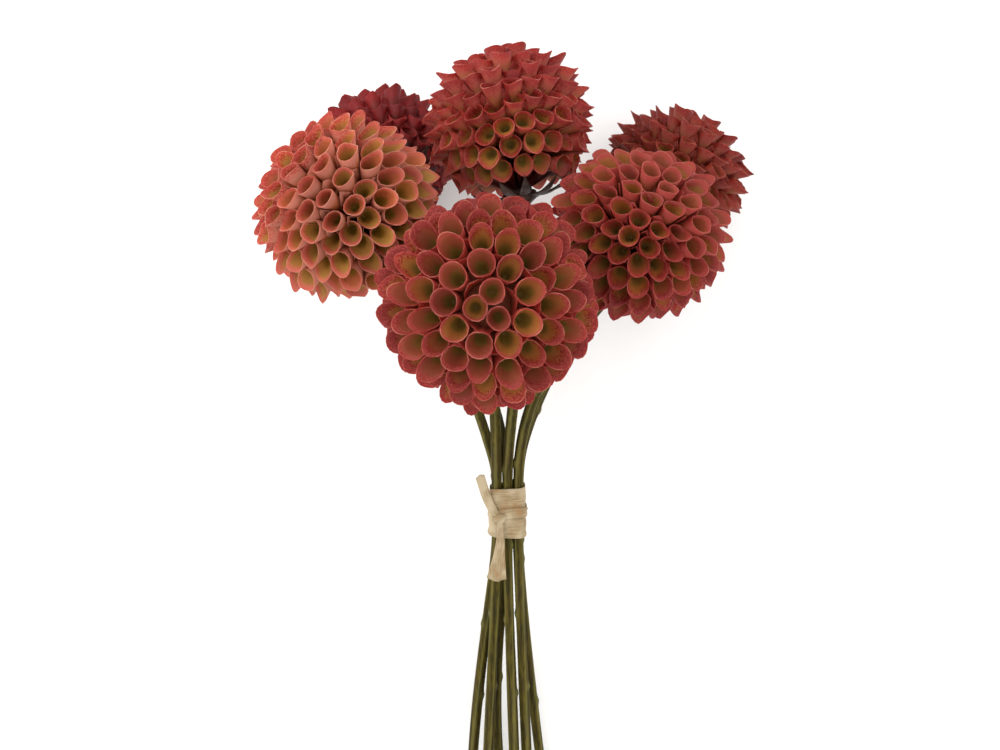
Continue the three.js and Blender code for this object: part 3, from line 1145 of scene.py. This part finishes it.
def narrow_turn(angle):
    """The height of the narrow turn: level, with a bell-shaped dip where the knot pulls it down."""
    return (0.75 - 1.5 * np.exp(-((np.cos(angle) + 0.4) ** 2) / 0.1)) * MM


STANDING_END = [(-2.6, -1.0, 5.0), (-5.2, 2.2, 5.2), (-7.4, 7.0, 4.8), (-9.6, 14.0, 4.2)]
HANGING_END = [(-2.6, -1.5, 5.4), (-2.4, -7.0, 6.1), (-2.9, -14.0, 6.3), (-3.8, -22.5, 5.6)]

TIE_SEED = 5

chance = np.random.default_rng(TIE_SEED)
parts = [
    turn_round(upper_turn, 0.85 * MM, 8.2 * MM, chance),
    turn_round(lower_turn, 0.95 * MM, 7.2 * MM, chance),
    turn_round(narrow_turn, 1.35 * MM, 3.8 * MM, chance),
    knot(),
    tail(STANDING_END, [1.8, 3.0, 3.3, 3.3], chance),
    tail(HANGING_END, [1.8, 2.5, 4.0, 6.9], chance),
]
make_piece("raffia_strip", parts, raffia_material, "raffia", "raffia_tie")
print("a tie of", len(parts), "parts")

# %% [markdown]
# ## Table
# The bunch lies on a plain white table, one square face that is large enough to fill the picture from every
# side. It is staged: it stays out of the finished part.

# %% Table
TABLE_HALF = 3.0
table_mesh = bpy.data.meshes.new("table")
corners = [(x * TABLE_HALF, y * TABLE_HALF, 0.0) for x, y in ((-1, -1), (1, -1), (1, 1), (-1, 1))]
table_mesh.from_pydata(corners, [], [(0, 1, 2, 3)])
table = bpy.data.objects.new("table", table_mesh)
bpy.context.scene.collection.objects.link(table)
table_material, table_shader, _ = new_material("table_white", Roughness=0.6)
table_shader.inputs["Base Color"].default_value = rgba("#f7f6f4")
table_mesh.materials.append(table_material)

# %% [markdown]
# ## Light
# The studio is a white room, so most of the light is a white world that comes from everywhere and leaves
# only soft shadows. One large lamp at the upper left makes that side of the cups a little brighter.

# %% Light
WORLD_STRENGTH = 1.5

world = bpy.data.worlds.new("studio")
bpy.context.scene.world = world
world.use_nodes = True
world.node_tree.nodes["Background"].inputs["Color"].default_value = (1, 1, 1, 1)
world.node_tree.nodes["Background"].inputs["Strength"].default_value = WORLD_STRENGTH

KEY_AT = Vector((-0.75, 0.45, 0.6))
KEY_AIM = Vector((0, 0.06, 0.08))

lamp = bpy.data.lights.new("key", "AREA")
lamp.size = 0.7
lamp.energy = 3.5
key = bpy.data.objects.new("key", lamp)
key.location = KEY_AT
key.rotation_euler = (KEY_AIM - KEY_AT).to_track_quat("-Z", "Y").to_euler()
bpy.context.scene.collection.objects.link(key)
print("lamp", round((KEY_AIM - KEY_AT).length, 2), "m from the blooms")

# %% [markdown]
# ## Camera
# The bunch lies on its back, so the camera hangs above it and looks straight down, which is also how a new
# camera looks. Its height and lens give the picture's scale, and its place over the table the framing.

# %% Camera
CAMERA_OVER = (-0.00485, 0.04145)
CAMERA_HEIGHT = 0.515
camera_data = bpy.data.cameras.new("camera")
camera_data.lens = 50
camera_data.sensor_width = 36
camera = bpy.data.objects.new("camera", camera_data)
camera.location = (*CAMERA_OVER, CAMERA_HEIGHT)
bpy.context.scene.collection.objects.link(camera)
bpy.context.scene.camera = camera
bpy.context.scene.view_settings.view_transform = "Standard"
